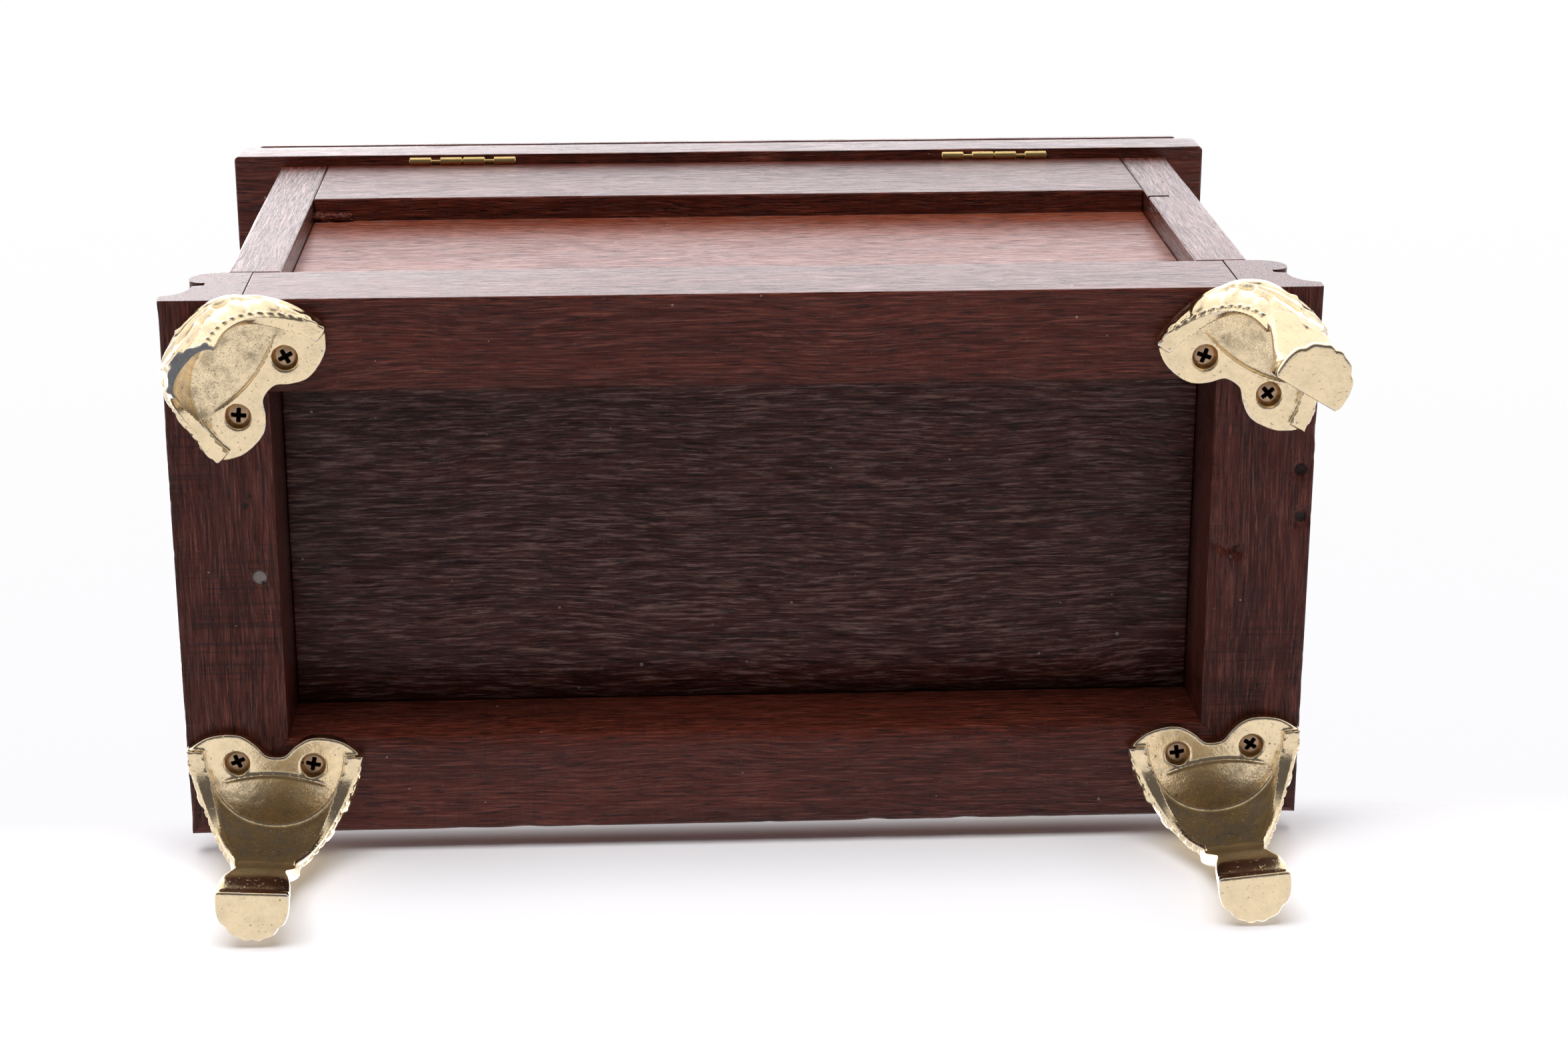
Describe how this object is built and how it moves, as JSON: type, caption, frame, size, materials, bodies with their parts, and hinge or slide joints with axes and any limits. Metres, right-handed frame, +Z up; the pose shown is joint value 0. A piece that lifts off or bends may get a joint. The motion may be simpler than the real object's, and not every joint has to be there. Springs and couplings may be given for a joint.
{
  "type": "jewellery chest",
  "caption": "Dark wooden jewellery chest on cast cabriole feet, with moulded plinth, drawers with swinging bails, and a hinged mirrored lid over a lined tray.",
  "frame": {"origin": "middle of the footprint, at the height of the toes' undersides", "axes": "+Z up; the drawers slide out towards -Y and the lid's hinges are at +Y; +X is on the right when looking along +Y"},
  "size_m": [0.2812, 0.1466, 0.2238],
  "materials": {
    "rosewood": "dark red-brown stained hardwood, satin lacquer worn thin",
    "panel_wood": "brown-black stained veneer with streaky horizontal grain, matt",
    "drawer_wood": "plain mid-brown secondary wood, matt",
    "gilt_zinc": "cast zinc with thin pale gold plating, bright with speckled tarnish",
    "brass": "lacquered brass, lightly tarnished",
    "screw_brass": "dull antique brass",
    "velvet": "wine red velvet",
    "mirror_glass": "silvered glass"
  },
  "bodies": {
    "chest": {"plinth_front": "rosewood", "plinth_right": "rosewood", "plinth_left": "rosewood", "plinth_back": "rosewood", "bottom_panel": "panel_wood", "foot_front_right": "gilt_zinc", "foot_screw_front_right_a": "screw_brass", "foot_screw_front_right_b": "screw_brass", "foot_front_left": "gilt_zinc", "foot_screw_front_left_a": "screw_brass", "foot_screw_front_left_b": "screw_brass", "foot_rear_left": "gilt_zinc", "foot_screw_rear_left_a": "screw_brass", "foot_screw_rear_left_b": "screw_brass", "foot_rear_right": "gilt_zinc", "foot_screw_rear_right_a": "screw_brass", "foot_screw_rear_right_b": "screw_brass", "case_side_right": "rosewood", "case_side_left": "rosewood", "case_front_rail": "rosewood", "case_back_rail": "rosewood", "case_back_panel": "rosewood", "drawer_divider": "rosewood", "tray_floor": "drawer_wood", "tray_partition": "velvet", "tray_lining": "velvet", "ring_cushion": "velvet", "hinge_case_leaf_right": "brass", "hinge_case_leaf_left": "brass", "hinge_pin_right": "brass", "hinge_pin_left": "brass"},
    "lid": {"lid_board": "rosewood", "lid_top_panel": "rosewood", "mirror_frame": "rosewood", "mirror": "mirror_glass", "hinge_lid_leaf_right": "brass", "hinge_lid_leaf_left": "brass"},
    "drawer_lower": {"drawer_lower_front": "rosewood", "drawer_lower_side_right": "drawer_wood", "drawer_lower_side_left": "drawer_wood", "drawer_lower_back": "drawer_wood", "drawer_lower_bottom": "drawer_wood", "drawer_lower_lining": "velvet", "drawer_lower_pull_plate_right": "brass", "drawer_lower_pull_plate_left": "brass"},
    "drawer_lower_bail_right": {"drawer_lower_pull_bail_right": "brass"},
    "drawer_lower_bail_left": {"drawer_lower_pull_bail_left": "brass"},
    "drawer_upper": {"drawer_upper_front": "rosewood", "drawer_upper_side_right": "drawer_wood", "drawer_upper_side_left": "drawer_wood", "drawer_upper_back": "drawer_wood", "drawer_upper_bottom": "drawer_wood", "drawer_upper_lining": "velvet", "drawer_upper_pull_plate_right": "brass", "drawer_upper_pull_plate_left": "brass"},
    "drawer_upper_bail_right": {"drawer_upper_pull_bail_right": "brass"},
    "drawer_upper_bail_left": {"drawer_upper_pull_bail_left": "brass"}
  },
  "joints": [
    {"name": "lid_hinge", "type": "hinge", "parent": "chest", "child": "lid", "pos_m": [0.00059, 0.07132, 0.2061], "axis": [-1, 0, 0], "range_deg": [0, 105]},
    {"name": "drawer_lower_slide", "type": "slide", "parent": "chest", "child": "drawer_lower", "axis": [0, -1, 0], "range_m": [0, 0.095]},
    {"name": "drawer_lower_bail_swing_right", "type": "hinge", "parent": "drawer_lower", "child": "drawer_lower_bail_right", "pos_m": [0.06259, -0.05838, 0.10293], "axis": [-1, 0, 0], "range_deg": [0, 85]},
    {"name": "drawer_lower_bail_swing_left", "type": "hinge", "parent": "drawer_lower", "child": "drawer_lower_bail_left", "pos_m": [-0.06141, -0.05838, 0.10293], "axis": [-1, 0, 0], "range_deg": [0, 85]},
    {"name": "drawer_upper_slide", "type": "slide", "parent": "chest", "child": "drawer_upper", "axis": [0, -1, 0], "range_m": [0, 0.095]},
    {"name": "drawer_upper_bail_swing_right", "type": "hinge", "parent": "drawer_upper", "child": "drawer_upper_bail_right", "pos_m": [0.06259, -0.05838, 0.14617], "axis": [-1, 0, 0], "range_deg": [0, 85]},
    {"name": "drawer_upper_bail_swing_left", "type": "hinge", "parent": "drawer_upper", "child": "drawer_upper_bail_left", "pos_m": [-0.06141, -0.05838, 0.14617], "axis": [-1, 0, 0], "range_deg": [0, 85]}
  ]
}
